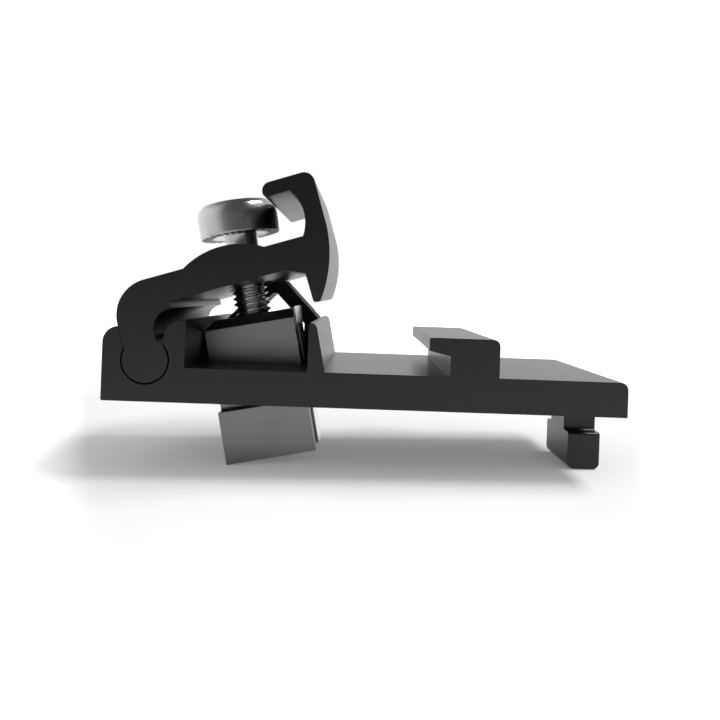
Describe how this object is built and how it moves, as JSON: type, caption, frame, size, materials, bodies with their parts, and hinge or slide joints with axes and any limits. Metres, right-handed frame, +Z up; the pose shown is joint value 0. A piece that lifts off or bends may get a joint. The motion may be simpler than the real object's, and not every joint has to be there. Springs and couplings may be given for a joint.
{
  "type": "rail cross connector",
  "caption": "Clamp that joins crossing mounting rails: a hinged jaw and a fixed hook hold the upper rail on the base, while a slot nut and a key under it grip the lower rail.",
  "frame": {"origin": "centre of the base plate's underside, which lies on the lower rail", "axes": "+X from the hinge end to the key end, +Z up away from the lower rail, Y along the extrusions"},
  "size_m": [0.1, 0.04, 0.0597],
  "materials": {
    "black_anodised_aluminium": "satin, black anodised",
    "stainless_steel": "bright, turned",
    "mill_aluminium": "satin, as extruded",
    "spring_steel": "bright, rolled",
    "black_plastic": "moulded, matte"
  },
  "bodies": {
    "base": {"base_plate": "black_anodised_aluminium", "arch_spring": "black_plastic"},
    "arm": {"clamp_arm": "black_anodised_aluminium"},
    "nut": {"slot_nut": "mill_aluminium", "nut_leaf": "spring_steel"},
    "screw": {"clamp_screw": "stainless_steel"}
  },
  "joints": [
    {"name": "arm_hinge", "type": "hinge", "parent": "base", "child": "arm", "pos_m": [-0.04185, 0, 0.0079], "axis": [0, 1, 0], "range_deg": [0, 16.6], "stiffness_Nm_per_rad": 0.2, "springref_deg": -17.19, "deforming": ["arch_spring"]},
    {"name": "nut_tilt", "type": "hinge", "parent": "base", "child": "nut", "pos_m": [-0.0225, 0, 0.00335], "axis": [0, 1, 0], "range_deg": [0, 11.4]},
    {"name": "screw_feed", "type": "slide", "parent": "nut", "child": "screw", "axis": [-0.1959, 0, 0.9806], "range_m": [-0.0092, 0]}
  ],
  "couplings": [
    {"joint": "nut_tilt", "follows": "arm_hinge", "ratio": 0.68072},
    {"joint": "screw_feed", "follows": "arm_hinge", "m_per_rad": -0.031409}
  ]
}
